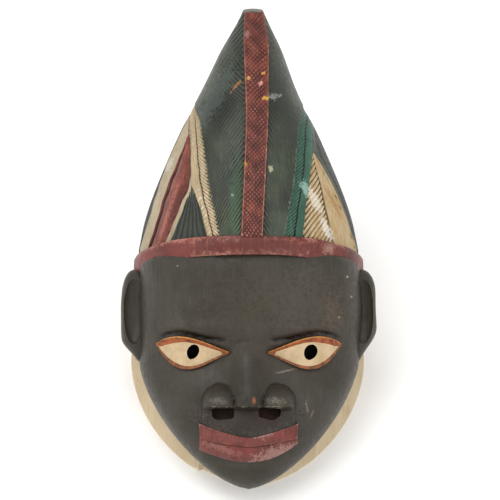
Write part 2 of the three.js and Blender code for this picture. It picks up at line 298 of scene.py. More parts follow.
def eyeEdge(x):
    # place along the eye, and the line through its corners
    t = np.clip((np.abs(x) - eye["x"]) / eye["half"], -1, 1)
    return t, eye["up"] + eye["tilt"] * t


def creased(x, up):
    # the carved crease above each eye, 1 along its middle
    t, corner = eyeEdge(x)
    line = corner + eye["above"] * eyeArch(t) + crease["above"] + crease["opens"] * t * t * (t < 0)
    inReach = 1 - smoothstep(np.abs(np.abs(x) - eye["x"]), eye["half"] - 8, eye["half"] + 2)
    return bump(up, line, crease["wide"]) * inReach


def modelled(x, up):
    total = -crease["deep"] * creased(x, up)
    for amount, atX, atUp, wide, tall in modelling:
        total = total + amount * bump(np.abs(x), atX, wide) * bump(up, atUp, tall)
    return total


def faceOut(x, up):
    half, middle, front, _ = headAt(up)
    square = head["square"]
    away = np.maximum(1 - (np.abs(x) / np.maximum(half, 1)) ** square, 0) ** (1 / square)
    return middle + front * away + modelled(x, up)


def onFace(x, up, stands):
    return place(x, up, faceOut(x, up) + stands)


def bandLine(y):
    # where the red band runs: along the temples, behind the ears and round the nape
    napeHeight, slope, turnY, softness = 33, 1.84, 187, 14
    return napeHeight + slope * softness * np.log1p(np.exp((turnY - y) / softness))


def jawLine(y):
    # the head's lower edge, inside the collar: up from the chin, then level to the nape
    topY, top, chinHeight, nape = 105, 54, 17, 50
    drop = np.clip((topY - y) / 130, 0, 2)
    behind = top - (top - nape) * smoothstep(y, topY, topY + 100)
    return np.where(y < topY, top - (top - chinHeight) * drop**1.3, behind)


def headPoint(column, row, own):
    run = row / head["rows"]
    up = mix(head["topUp"], head["chinUp"], np.where(run < 1, run**0.9, 1))
    turn = mix(-math.pi, math.pi, column / head["columns"])
    angle = turn - 0.22 * np.sin(2 * turn) - 0.16 * np.sin(turn)
    half, middle, front, back = headAt(up)
    closing = np.sqrt(np.maximum(1 - (1 - np.minimum(run * 8, 1)) ** 2, 0))
    x = half * closing * power(np.sin(angle), 2 / head["square"])
    facing = power(np.cos(angle), 2 / head["square"]) * closing
    out = middle + np.where(facing > 0, front, back) * facing
    over = heightOf(up, out) - bandLine(backOf(up, out))
    under = head["tuckedIn"] * smoothstep(over, -8, 10)
    fade = np.clip(facing * 2, 0, 1) * np.minimum((1 - run) * 12, 1)
    feature = modelled(x, up) * fade
    uneven = (0.35 * waver(x / 9, up / 11, 3) + 0.25 * waver(x / 4, up / 6, 4)) * fade
    fuller = head["fullerRight"] * smoothstep(x, 55, 88) * bump(up, 145, 40)
    point = place(x * (1 - under / head["half"]) + fuller, up, out + feature + uneven - facing * under)
    # the crease above each eye is marked to be painted darker: painted shade, with dirt
    return np.column_stack([point, crease["dirt"] * creased(x, up) * fade])


mask = ballForm("carvedMask", head["columns"], head["rows"], headPoint, "blackFace")
combine(mask, below(jawLine, "blackFace"), "DIFFERENCE")
print("head shaped:", len(mask.data.polygons), "faces")

# The headdress. Its mesh columns follow the carved edges, so each paint ends on an edge.
hair = {
    "footUp": 120,
    "fineFrom": 194,
    "fineRow": 0.84,
    "coarseRows": 22,
    "middleOut": -23,
    "frontAtPeak": -14,
    "frontSwell": 74,
    "backAtPeak": 32,
    "backSwell": 106,
    "peakSlope": 2.5,
    "lean": 3.7,
    "crestHalf": 7.9,
    "crestStands": 4.2,
    "crestFoot": 203,  # the crest fades out into the band here
    "leafStands": 3.2,
    "bandStands": 1.6,
    "swingFrom": 300,  # between these levels the edges swing round to the back crest
    "swingTo": 375,
    "tanTop": 276,
    "dirt": 1.5,  # how dark a cut one millimetre deep is
}
crestX = smoothLine((195, 2), (290, 6), (340, 5.8), (peakUp, 5))
hairHalf = smoothLine(
    (195, 91.5), (220, 85.8), (254, 74), (297, 55), (322, 41), (347, 29.6), (381, 15.4), (peakUp, 8.6)
)
# Lines on the headdress as (up, distance from the face's middle), left and right.
leftLines = {
    "leaf": smoothLine((195, 21), (257, 33.2), (311, 39.6)),
    "rib": smoothLine((195, 26.5), (257, 39.9), (311, 43.6)),
    "feather": smoothLine((195, 31), (232, 39.6), (250, 45.6), (292, 47)),
    "thinInner": smoothLine((195, 67.4), (229, 53.9), (249, 46.2), (292, 47.4)),
    "thinOuter": smoothLine((195, 71), (229, 57.1), (249, 48.4), (292, 47.8)),
    "panel": smoothLine((197, 81.8), (252, 64.2), (292, 48)),
    "outer": smoothLine((196, 89.8), (212, 85.2), (232, 78.6), (270, 67), (300, 58)),
}
rightLines = {
    "leaf": smoothLine((195, 27), (256, 37.1), (311, 40.7)),
    "rib": smoothLine((195, 35.5), (261, 44.6), (311, 47.2)),
    "strip": smoothLine((195, 42), (264, 50.5), (276, 52)),
    "tanRib": smoothLine((197, 70), (240, 61.5), (276, 52.2)),
    "panel": smoothLine((197, 88.7), (240, 72.5), (276, 52.6)),
}


def hairAt(up):
    share = np.clip((peakUp - up) / (peakUp - head["hairlineUp"]), 0, 1)
    swell = 1 - (1 - share) ** 2
    middle = hair["middleOut"] - 2 * share
    front = hair["frontAtPeak"] + hair["frontSwell"] * swell - middle
    back = middle + hair["backAtPeak"] + hair["backSwell"] * swell
    return hairHalf(up), middle, front, back, share


def hairLean(up):
    return hair["lean"] * smoothstep(up, 310, peakUp)


def groove(across, pitch, wide):
    # 1 in the middle of each groove, 0 between grooves
    off = (across / pitch - np.round(across / pitch)) * pitch
    return np.exp(-((off / wide) ** 2))


def slanted(x, up, degrees):
    # distance across lines that climb at this angle
    a = math.radians(degrees)
    return x * math.sin(a) - up * math.cos(a)


def crestCut(x, up, t, side):
    u = x - crestX(up) + 1.2 * waver(up / 6, x / 4, 1)
    v = up + 1.4 * waver(up / 7, x / 5, 2)
    inside = 1 - smoothstep(np.abs(x - crestX(up)), hair["crestHalf"] - 1.3, hair["crestHalf"] - 0.5)
    one, other = groove(u + 0.7 * v, 2.9, 0.5), groove(u - 0.9 * v, 3.5, 0.5)
    uneven = 0.7 + 0.3 * waver(up / 4, x / 2, 3)
    return -0.8 * inside * np.maximum(one * uneven, other) + 0.3 * waver(up / 2.4, x / 2, 18)


def leafCut(x, up, t, side):
    # like a feather's vane: steep beside the crest, flatter towards the edge
    bend = 9 * t**2 if side < 0 else 0
    lines = groove(slanted(x, up + bend, 56 if side < 0 else 118) + 0.6 * waver(x / 9, up / 15, 5), 2.6, 0.62)
    patches = smoothstep(waver(x / 7 + up / 23, up / 9, 4), -1.0, 0.2)
    depth = 0.85 if side < 0 else 0.5
    share = np.clip(patches * (0.75 if side < 0 else 0.4) + 0.9 * bump(t, 0, 0.25), 0, 1)
    # the lines fade towards the sides and stop behind the peak
    aside = smoothstep(np.abs(x - hairLean(up)) / hairHalf(up), 0.88, 0.98)
    behind = smoothstep(up, 318, 345) * smoothstep(t, 0.5, 0.62)
    return -depth * lines * share * (1 - np.maximum(aside, behind)) + 0.25 * waver(x / 6, up / 14, 8)


def featherInnerCut(x, up, t, side):
    barbs = groove(up + 6.5 * (1 - t) + 0.9 * waver(up / 5, x / 3, 6), 3.3, 0.65)
    return 0.9 * np.sin(math.pi * t) - 1.0 * barbs * smoothstep(t, 1.0, 0.8) - 0.7 * bump(t, 1, 0.12)


def featherOuterCut(x, up, t, side):
    barbs = groove(up + 4 * t + 0.9 * waver(up / 6, x / 3, 19), 3.6, 0.6)
    uneven = smoothstep(waver(up / 10, x / 5, 17), -0.8, 0.5)
    return 0.7 * np.sin(math.pi * t) - 0.6 * uneven * barbs * smoothstep(t, 0.1, 0.4) - 0.7 * bump(t, 0, 0.12)


def triangleCut(x, up, t, side):
    apexX, apexUp = -45.6, 254
    fan = np.degrees(np.arctan2(x - apexX, apexUp - up))
    lines = groove(fan + waver(up / 9, x / 9, 7), 5.5, 1.5) * smoothstep(apexUp - up, 4, 12)
    return -0.75 * lines - 0.6 * bump(t, 0, 0.06)


def panelCut(x, up, t, side):
    grain = groove(slanted(x, up, 78) + 0.3 * waver(up / 20, x, 9), 2.2, 0.5)
    bulge = 2.3 * np.sin(math.pi * np.clip(t, 0, 1)) ** 1.2
    return bulge - 0.7 * (bump(t, 0, 0.07) + bump(t, 1, 0.07)) - 0.6 * grain * smoothstep(t, 0.6, 0.4)


def softCut(x, up, t, side):
    return 0.5 * np.sin(math.pi * t) + 0.15 * waver(up / 6, x / 5, 12)


def tealCut(x, up, t, side):
    barbs = groove(up - 0.9 * x + 0.4 * waver(up / 9, x / 3, 10), 3, 0.6)
    return -0.9 * barbs * smoothstep(t, 0.02, 0.2) - 0.7 * bump(t, 1, 0.09) + 0.4 * np.sin(math.pi * t)


def tanCut(x, up, t, side):
    barbs = groove(slanted(x, up, 55) + 0.7 * waver(up / 9, x / 6, 11), 3.1, 0.7)
    ribbed = -1.0 * barbs * smoothstep(waver(x / 9, up / 12, 13), -1.2, -0.5) - 0.6 * bump(t, 1, 0.05)
    return ribbed + 0.5 * np.sin(math.pi * t)


def tanWornCut(x, up, t, side):
    # the outer half is worn nearly smooth
    barbs = groove(slanted(x, up, 128) + 0.8 * waver(up / 9, x / 6, 27), 3.3, 0.7)
    return 0.6 * np.sin(math.pi * t) - 0.45 * barbs * smoothstep(waver(x / 7, up / 9, 28), -0.8, 0.6)


def longCut(x, up, t, side):
    # nearly along the edge, so they are counted across the stretch
    lines = groove(4 * t, 1, 0.22) * smoothstep(waver(t * 3, up / 17, 15), -1.3, -0.5)
    return -1.0 * lines + 0.3 * waver(t * 4, up / 14, 14)


def plainCut(x, up, t, side):
    return 0.3 * waver(x / 10, up / 12, 16)


# From the crest's middle round to the nape: the stretch's paint, its cut and how many columns it has.
crestStretches = [("redCrest", crestCut, 15), ("redCrest", plainCut, 1)]
backStretches = [("redCrest", plainCut, 1), ("redCrest", plainCut, 3)]
leftStretches = [
    *crestStretches,
    ("greenLeaf", leafCut, 38), ("greenLeaf", plainCut, 1),
    ("creamFeather", featherInnerCut, 9), ("creamFeather", featherOuterCut, 8), ("creamFeather", plainCut, 1),
    ("greenLeaf", triangleCut, 15), ("creamBand", softCut, 4),
    ("redPanel", panelCut, 17), ("redPanel", plainCut, 1), ("creamBand", softCut, 8),
    *[("greenLeaf", longCut, 8)] * 3,
    *backStretches,
]
rightStretches = [
    *crestStretches,
    ("greenLeaf", leafCut, 27), ("greenLeaf", plainCut, 1),
    ("tealFeather", tealCut, 11), ("tealFeather", softCut, 6), ("tealFeather", plainCut, 1),
    ("tanPanel", tanCut, 28), ("tanPanel", tanWornCut, 14), ("tanPanel", plainCut, 1),
    ("greenLeaf", longCut, 12), *[("greenLeaf", longCut, 8)] * 2,
    *backStretches,
]
stretchesOn = {-1: leftStretches, 1: rightStretches}
leftColumns, rightColumns = (sum(columns for _, _, columns in some) for some in stretchesOn.values())
# the columns divide by four once the right leaf gives up the spare ones
spare = (leftColumns + rightColumns) % 4
hairColumns = leftColumns + rightColumns - spare
leafIndex = 2
rightStretches[leafIndex] = ("greenLeaf", leafCut, rightStretches[leafIndex][2] - spare)
fineRows = round((peakUp - hair["fineFrom"]) / hair["fineRow"])
hairRows = fineRows + hair["coarseRows"]


def hairEdges(up, side):
    # angle of each carved edge at each level, and how far the wood stands out there
    half, lean = hairHalf(up), hairLean(up)
    crestHalf, leaf, band = hair["crestHalf"], hair["leafStands"], hair["bandStands"]
    crest = leaf + hair["crestStands"] * smoothstep(up, hair["crestFoot"], hair["crestFoot"] + 5)
    step, backStep = 0.7, 0.03
    backCrest = math.pi - np.arcsin(np.clip(crestHalf / half, 0, 0.98))
    swing = smoothstep(up, hair["swingFrom"], hair["swingTo"])
    wobble = 0.35 * waver(up / 8, 0, 20 + side) + 0.28 * waver(up / 2.6, 0, 25 + side)

    def flat(distance):
        return np.arcsin(np.clip((distance - side * lean) / half, -1, 0.985))

    def swung(distance):
        return mix(flat(distance + wobble), backCrest, swing)

    lines = {name: line(up) for name, line in (leftLines if side < 0 else rightLines).items()}
    crestEdge = side * crestX(up) + crestHalf
    edges = [(flat(side * crestX(up)), crest), (flat(crestEdge), crest), (flat(crestEdge + step), leaf)]
    rows = [("leaf", -step, leaf), ("leaf", 0, band), ("rib", 0, band)]
    if side < 0:
        inTriangle = 0.9 * smoothstep(lines["thinInner"] - lines["feather"], 0.8, 6)
        inPanel = band * smoothstep(lines["panel"] - lines["thinOuter"], 0.8, 6)
        rows += [("feather", 0, band), ("feather", step, band - inTriangle)]
        rows += [("thinInner", 0, band - inTriangle), ("thinOuter", 0, band - 0.5 * inPanel)]
        rows += [("panel", 0, band - inPanel), ("panel", step, band), ("outer", 0, band)]
    else:
        inPanel = 0.6 * band * smoothstep(lines["panel"] - lines["strip"], 0.8, 8)
        rows += [("strip", 0, band), ("strip", step, band - inPanel), ("tanRib", 0, band - inPanel)]
        rows += [("panel", 0, band - inPanel), ("panel", step, band)]
    edges += [(swung(lines[name] + past), stand) for name, past, stand in rows]
    besideEar, behindEar = math.pi / 2, 2.3
    edges += [(besideEar, band), (behindEar, band), (backCrest - backStep, band)]
    edges += [(backCrest, crest), (math.pi, crest)]
    angles = np.array([np.broadcast_to(angle, up.shape) for angle, _ in edges], float)
    stands = np.array([np.broadcast_to(stand, up.shape) for _, stand in edges], float)
    gap = 0.0025  # neighbouring edges stay apart, and none passes the back crest
    last = len(edges) - 2
    for i in range(1, last):
        angles[i] = np.minimum(np.maximum(angles[i], angles[i - 1] + gap), backCrest - gap * (last - i))
    return angles, stands


def stretchOf(column):
    # side, index of the stretch and place along it, for each column of the mesh
    side = np.where(column < leftColumns, -1, 1)
    index = np.zeros(len(column), int)
    along = np.zeros(len(column))
    for turned, stretches in stretchesOn.items():
        ends = np.cumsum([0] + [columns for _, _, columns in stretches])
        away = np.abs(column - leftColumns)
        mine = side == turned
        k = np.clip(np.searchsorted(ends, away, side="left") - 1, 0, len(stretches) - 1)
        index[mine] = k[mine]
        along[mine] = ((away - ends[k]) / np.diff(ends)[k])[mine]
    return side, index, along


def hairPoint(column, row, own):
    run = np.clip((row - 1) / (fineRows - 1), 0, 1)
    coarse = np.clip((row - fineRows) / (hair["coarseRows"] - 1), 0, 1)
    up = mix(peakUp, hair["fineFrom"], run) + (hair["footUp"] - hair["fineFrom"]) * coarse
    side, index, along = stretchOf(column)
    angle, stands, relief = np.zeros((3, len(up)))
    half, middle, front, back, share = hairAt(up)
    fade = smoothstep(share, 0, 0.2)
    for turned, stretches in stretchesOn.items():
        mine = np.nonzero(side == turned)[0]
        angles, levels = hairEdges(up[mine], turned)
        k, t, here = index[mine], along[mine], np.arange(len(mine))
        angle[mine] = turned * mix(angles[k, here], angles[k + 1, here], t)
        stands[mine] = mix(levels[k, here], levels[k + 1, here], t)
        for number, (_, cut, _) in enumerate(stretches):
            part = mine[k == number]
            x = hairLean(up[part]) + half[part] * np.sin(angle[part])
            openly = smoothstep((angles[number + 1] - angles[number])[k == number] * half[part], 0.5, 3)
            relief[part] = cut(x, up[part], along[part], turned) * openly
    reach = np.where((row == 0) | (row == hairRows), 0, 1)
    facing = np.cos(angle) * reach
    stands = stands * fade + relief * smoothstep(share, 0, 0.03)
    x = hairLean(up) + (half + stands) * np.sin(angle) * reach
    out = middle + (np.where(facing > 0, front, back) + stands) * facing
    up = up - hair["peakSlope"] * facing * smoothstep(up, peakUp - 30, peakUp)
    return np.column_stack([place(x, up, out), -hair["dirt"] * relief])


def hairPaint(column, row):
    side, index, _ = stretchOf(column + 0.5)
    up = peakUp - hair["fineRow"] * (row - 1)
    paint = np.zeros(len(column), int)
    for turned, stretches in stretchesOn.items():
        numbers = np.array([paintNumber[name] for name, _, _ in stretches])
        paint[side == turned] = numbers[index[side == turned]]
    # above its apex the tan panel closes, and the leaf's green runs on
    closed = (paint == paintNumber["tanPanel"]) & (up > hair["tanTop"])
    paint = np.where(closed, paintNumber["greenLeaf"], paint)
    return np.where(row == 0, paintNumber["blackFace"], paint)


headdress = ballForm("headdress", hairColumns, hairRows, hairPoint, hairPaint)
combine(headdress, below(bandLine, "greenLeaf"), "DIFFERENCE")
print("headdress carved:", len(headdress.data.polygons), "faces")

# The red band is a fillet that follows bandLine round the whole head.
band = {"half": 8.4, "raised": 3.3, "stands": 5.6, "back": 8, "columns": 288, "around": 12}


def onBand(angle):
    # where the headdress meets bandLine at each angle, found by halving
    low, high, halvings = np.full(len(angle), 130.0), np.full(len(angle), 250.0), 30
    facing = np.cos(angle)
    for _ in range(halvings):
        up = (low + high) / 2
        half, middle, front, back, _ = hairAt(up)
        out = middle + np.where(facing > 0, front, back) * facing
        over = heightOf(up, out) > bandLine(backOf(up, out))
        high = np.where(over, up, high)
        low = np.where(over, low, up)
    return place(half * np.sin(angle), up, out) / mm


def bandForm():
    bpy.ops.mesh.primitive_torus_add(
        major_segments=band["columns"], minor_segments=band["around"], major_radius=1, minor_radius=0.3
    )
    piece = bpy.context.object
    own = corners(piece)
    angle = np.arctan2(own[:, 0], -own[:, 1])
    over = np.arctan2(own[:, 2], np.hypot(own[:, 0], own[:, 1]) - 1)
    here = onBand(angle)
    along = unit(onBand(angle + 0.03) - onBand(angle - 0.03))
    outward = (place(np.sin(angle), 0, np.cos(angle)) - place(0, 0, 0)) / mm
    upward = unit(np.cross(outward, along))
    normal = np.cross(along, upward)
    rise = power(np.sin(over), 0.55) * band["half"] * (1 + 0.05 * waver(angle * 9, angle * 5, 31))
    rise = rise + band["raised"] * smoothstep(np.cos(angle), 0.1, 0.9)
    outer, inner = power(np.cos(over), 0.4) * band["stands"], -band["back"] * np.abs(np.cos(over))
    stands = np.where(np.cos(over) > 0, outer, inner)
    stands = stands + 0.25 * waver(angle * 14, over, 32)
    putCorners(piece, (here + normal * stands[:, None] + upward * rise[:, None]) * mm)
    return painted(piece, "band", paintNumber["redBand"])


# The collar flares out to the flat rim, an egg with its narrow end under the chin.
rim = {"x": -0.8, "half": 101, "widestY": 130, "front": 135, "back": 118, "frontPower": 1.8, "backPower": 2.2}
collarHeight = [63, 63, 56, 50, 40, 30, 23, 17, 12, 8, 5, 3, 1.2, 0, 0]
collarInset = smoothLine((0, 0), (3, 0.7), (8, 4), (17, 8.5), (30, 13.5), (51, 19), (63, 23))


def rimPoint(angle, inset, height):
    facing = np.cos(angle)
    e = 2 / np.where(facing > 0, rim["frontPower"], rim["backPower"])
    length = np.where(facing > 0, rim["front"], rim["back"]) - inset
    x = rim["x"] + (rim["half"] - inset) * power(np.sin(angle), e)
    return np.stack([x, rimFront + rim["widestY"] - length * power(facing, e), height], axis=-1) * mm


collarColumns = 240
# A splinter is missing from the rim left of the chin: between these angles, this deep and this tall.
chip = {"from": -0.475, "to": -0.22, "deep": 4.2, "tall": 12}


def collarPoint(column, row, own):
    angle = mix(-math.pi, math.pi, column / collarColumns)
    height = np.array(collarHeight)[row.astype(int)].astype(float)
    inset = collarInset(height) + 0.35 * (1 + waver(angle * 11, height / 6, 41)) * (height > 0)
    start, end = chip["from"], chip["to"]
    missing = smoothstep(angle, start, start + 0.03) * (1 - smoothstep(angle, end, end + 0.1))
    # the splinter runs out towards the chin
    tall = chip["tall"] * (1 - 0.8 * smoothstep(angle, start, end)) + 1.5 * waver(angle * 40, 0, 42)
    inset = inset + chip["deep"] * missing * (1 - smoothstep(height, 0.3 * tall, tall + 1))
    point = rimPoint(angle, inset, height)
    pole = (row == 0) | (row == len(collarHeight) - 1)
    point[pole, 0] = rim["x"] * mm
    point[pole, 1] = (rimFront + rim["widestY"]) * mm
    return point


collar = ballForm("collar", collarColumns, len(collarHeight) - 1, collarPoint, "creamCollar")
print("collar shaped")


# An ear is a squarish cup, pointed below, with a hollow that opens outwards and forwards.
earCup = {"x": 91, "up": 140, "out": -9, "half": 17.3, "tall": 39, "thick": 17, "pointed": 0.62}
earBowl = {"x": 96.5, "up": 145, "out": 6, "wide": 10, "tall": 29, "deep": 7, "turned": 1.5, "raked": 0}
earShell = {"x": 109, "up": 144, "out": -10, "wide": 4.5, "tall": 25, "deep": 9, "turned": 0, "raked": 2}


def earForm(side):
    taperFrom = 0.4 if side < 0 else 0.15

    def cup(a, b, c):
        taper = 1 - earCup["pointed"] * smoothstep(-c, taperFrom, 1)
        x = earCup["x"] + earCup["half"] * power(a * side, 0.6) * taper
        up = earCup["up"] + earCup["tall"] * power(c, 0.75)
        uneven = 0.25 * waver(up / 6, a * 3, 71 + side) - 0.3
        return place(side * (x + uneven), up, earCup["out"] + earCup["thick"] * power(-b, 0.85) + uneven)

    piece = blobForm("ear", 56, 40, cup, "blackFace")
    for scoop in (earBowl, earShell):

        def hollowed(a, b, c):
            x = scoop["x"] + scoop["wide"] * a * side - scoop["turned"] * b
            out = scoop["out"] - scoop["deep"] * b + scoop["raked"] * c
            return place(side * x, scoop["up"] + scoop["tall"] * c, out)

        combine(piece, blobForm("scoop", 40, 24, hollowed, "blackFace"), "DIFFERENCE")
    return piece


# An eye is a lens with a painted lid above it and a thin line below.
pupil = {"x": 48.7, "shift": 2.6, "up": 110.6, "radius": 5.6, "deep": 11}
lid = {"tall": 6.8, "curve": 0.45, "stands": 4.6, "thinner": 1.6, "fuller": 0.35, "back": 6}
underline = {"tall": 3, "curve": 0.3, "stands": 2.5, "fuller": 0.12}


def lensForm(side):
    def point(a, b, c):
        reach = np.minimum(np.hypot(a, c), 1)
        angle = np.arctan2(c, a)
        across = np.cos(angle) * reach
        arch = np.sin(angle) * np.abs(np.sin(angle)) * reach * (1 + eye["fuller"] * across * side)
        x = side * eye["x"] + eye["half"] * across
        up = eye["up"] + eye["tilt"] * across * side + arch * np.where(arch > 0, eye["above"], eye["below"])
        front = eye["stands"] + eye["bulge"] * (1 - reach**2)
        return onFace(x, up, np.where(b <= 0.01, front, -rooted))

    return blobForm("lens", 64, 40, point, "whiteEye")


def lidForm(side, upper):
    def point(s, t, front):
        arch = eyeArch(s * side)
        x = side * eye["x"] + eye["half"] * 1.02 * s
        corner = eye["up"] + eye["tilt"] * s * side
        if upper:
            edge = corner + eye["above"] * arch + 0.6
            tall = lid["tall"] * arch ** lid["curve"] + 0.3
            stands = lid["stands"] - lid["thinner"] * (1 - t)
        else:
            thick = underline["tall"] * arch ** underline["curve"]
            edge = corner - eye["below"] * arch + thick - 0.4
            tall = thick + 0.3
            stands = underline["stands"]
        up = edge - tall * (1 - t)
        lens = eye["bulge"] * arch * (lid if upper else underline)["fuller"]
        return onFace(x, up, np.where(front, stands + lens, -lid["back"]))

    return slabForm("lid", 56, 5, point, "orangeLid" if upper else "lidLine")


def drillForm(side):
    length = 44
    x = side * pupil["x"] + pupil["shift"]
    middle = faceOut(x, pupil["up"]) - pupil["deep"] + length / 2
    bpy.ops.mesh.primitive_cylinder_add(vertices=40, radius=1, depth=1)
    piece = bpy.context.object
    a, b, c = corners(piece).T
    # not quite round, as a hot iron or a knife leaves it
    around = pupil["radius"] * (1 + 0.13 * waver(1.7 * np.arctan2(a, b), side, 55))
    x, up = x + around * (a + 0.15 * b), pupil["up"] + 1.06 * around * b
    putCorners(piece, place(x, up, middle + length * c))
    # the bore's dark paint is painted shade, as in a deep hole
    return painted(piece, "drill", paintNumber["sootyHoleShade"])


# The lips are two faceted bars with blunt ends.
mouth = {
    "half": 40.8,
    "top": 41,
    "topRise": 11,
    "parting": 34.6,
    "partingRise": 6.2,
    "bottom": 20.6,
    "bottomRise": 12.3,
    "rightRise": 2.8,
    "lapped": 0.7,
    "upperStands": 10.5,
    "upperFalls": 3.5,
    "lowerStands": 4,
    "lowerSwells": 6.5,
}


def lipForm(upper):
    def point(s, t, front):
        parting = mouth["parting"] + mouth["partingRise"] * np.abs(s) ** 1.4
        top = mouth["top"] + mouth["topRise"] * np.abs(s) ** 1.4
        bottom = mouth["bottom"] + (mouth["bottomRise"] + mouth["rightRise"] * s) * np.abs(s) ** 1.9
        up = mix(parting - mouth["lapped"], top, t) if upper else mix(bottom, parting, t)
        x = mouth["half"] * s - 0.7 * np.sign(s) * smoothstep(np.abs(s), 0.9, 1) * (1 - t if upper else t)
        if upper:
            ridge = mouth["upperStands"] - mouth["upperFalls"] * t**1.4
        else:
            ridge = mouth["lowerStands"] + mouth["lowerSwells"] * np.sin(math.pi * (0.15 + 0.62 * t))
        ridge = ridge * (1 - 0.4 * s * s) + 0.35 * waver(x / 3, up / 3, 51)
        return onFace(x, up, np.where(front, ridge, -rooted))

    return slabForm("lip", 72, 14, point, "redLips")


# The nose is a broad wedge with a round wing each side, cut off flat below.
nose = {
    "baseUp": 66.6,
    "length": 59,
    "height": 24,
    "half": 39.5,
    "rootHalf": 26,
    "bridgeHalf": 13.5,
    "sunk": 3,
    "undercut": 9,
}
wing = {"x": 23.5, "up": 68.6, "half": 16, "tall": 16.5, "stands": 19}


def noseHeight(x, up):
    t = np.clip((up - nose["baseUp"]) / nose["length"], 0, 1)
    wedge = nose["height"] * np.maximum(np.cos(math.pi / 2 * t), 0) ** 1.2 * (1 - 0.14 * bump(t, 0, 0.1))
    bridge = wedge / (1 + (np.abs(x) / nose["bridgeHalf"]) ** 2.8)
    off = ((np.abs(x) - wing["x"]) / wing["half"]) ** 2 + ((up - wing["up"]) / wing["tall"]) ** 2
    dome = wing["stands"] * np.sqrt(np.maximum(1 - off, 0))
    return np.maximum(bridge, dome) + 0.12 * np.minimum(bridge, dome) + 0.3 * waver(x / 5, up / 6, 52)


def nosePoint(s, t, front):
    half = mix(nose["half"], nose["rootHalf"], smoothstep(t, 0.28, 0.75))
    x = half * power(s, 0.9)
    up = nose["baseUp"] + nose["length"] * t
    low = place(x, up - nose["undercut"] * (1 - t) ** 3, faceOut(x, up) - rooted)
    return np.where(front[:, None], place(x, up, faceOut(x, up) + noseHeight(x, up) - nose["sunk"]), low)


# The muzzle stands out from under the nose to behind the lips.
muzzle = {"half": 40.5, "topHalf": 37, "low": 38, "high": 65, "stands": 5}


def muzzlePoint(s, t, front):
    x = s * mix(muzzle["half"], muzzle["topHalf"], t)
    up = mix(muzzle["low"], muzzle["high"], t)
    stands = muzzle["stands"] * (1 - 0.35 * s * s) + 0.5 * waver(x / 6, up / 5, 53)
    return onFace(x, up, np.where(front, stands, -rooted))


# A nostril is a slot in the slanting underside of the nose.
slot = {"x": 19.2, "shift": -1.8, "wide": 21, "tall": 9.5, "deep": 22, "out": 3}


def nostrilForm(side):
    def point(a, b, c):
        # flat above, round below
        top = nose["baseUp"] - 0.6
        x = side * slot["x"] + slot["shift"] + slot["wide"] / 2 * power(a, 0.6) * (1 - 0.12 * (1 - c))
        up = top - slot["tall"] * (1 - power(c, 0.5)) / 2 - 0.7 * (1 + waver(x / 2.2, side, 54)) * (c < 0)
        # its floor slopes out towards the lip
        deep = slot["deep"] / 2 * np.where(b > 0, 0.3 + 0.35 * (1 + power(c, 0.5)), 1)
        return place(x, up, faceOut(x, up) + slot["out"] - deep * power(b, 0.5))

    # the slot's dark paint is painted shade, as in a deep hole
    return blobForm("nostril", 32, 20, point, "sootyHoleShade")


# The hollow inside, behind walls of about 15 mm: its front wall leans back with the face.
hollow = {
    "top": 172,
    "floor": -12,
    "half": 78,
    "frontY": 24,
    "lean": 1.19,
    "leanFrom": 46,
    "backY": 157,
    "backSwell": 64,
    "columns": 72,
    "rows": 30,
}


def hollowPoint(column, row, own):
    rows = hollow["rows"]
    run = np.clip((row - 1) / (rows - 2), 0, 1)
    height = mix(hollow["top"], hollow["floor"], run)
    h = np.maximum(height, 0)
    front = np.maximum(hollow["frontY"], hollow["lean"] * h - hollow["leanFrom"])
    back = hollow["backY"] + hollow["backSwell"] * np.sqrt(1 - (h / (hollow["top"] + 5)) ** 3)
    half = hollow["half"] * np.sqrt(np.maximum(1 - (h / (hollow["top"] + 3)) ** 3, 0))
    angle = mix(-math.pi, math.pi, column / hollow["columns"])
    reach = np.where((row == 0) | (row == rows), 0, 1)
    facing = np.cos(angle)
    widest = (front + back) / 2
    uneven = 0.6 * waver(angle * 8, height / 9, 61) * (height > 0) * reach
    y = widest - ((back - front) / 2 + uneven) * power(facing, 0.95) * reach
    x = (half + uneven) * power(np.sin(angle), 0.95) * reach
    return np.stack([x, rimFront + y, height], axis=-1) * mm


added = [
    headdress,
    collar,
    bandForm(),
    slabForm("muzzle", 48, 16, muzzlePoint, "blackFace"),
    slabForm("nose", 76, 52, nosePoint, "blackFace"),
    lipForm(True),
    lipForm(False),
]
for side in (-1, 1):
    added += [earForm(side), lensForm(side), lidForm(side, True), lidForm(side, False)]
removed = [ballForm("hollow", hollow["columns"], hollow["rows"], hollowPoint, "bareWood")]
for side in (-1, 1):
    removed += [drillForm(side), nostrilForm(side)]
for form in added:
    combine(mask, form, "UNION")
for form in removed:
    combine(mask, form, "DIFFERENCE")
print("mask joined and hollowed:", len(mask.data.polygons), "faces")


def keepLargest(piece):
    # a cut can leave a loose sliver beside the mask
    selectOnly(piece)
    bpy.ops.mesh.separate(type="LOOSE")
    loose = sorted(bpy.context.selected_objects, key=lambda o: -len(o.data.vertices))
    for scrap in loose[1:]:
        bpy.data.objects.remove(scrap)
    loose[0].name = "carvedMask"
    return loose[0]


mask = keepLargest(mask)
# the fine mesh keeps within the solid's box and stands flat on the floor
putCorners(mask, np.clip(corners(mask), cadLow, cadHigh))


# How often wear spreads to the neighbouring corners, its strength, and from which angle edges are sharp.
wear = {"spreads": 2, "strength": 2.5, "sharpFrom": 42}


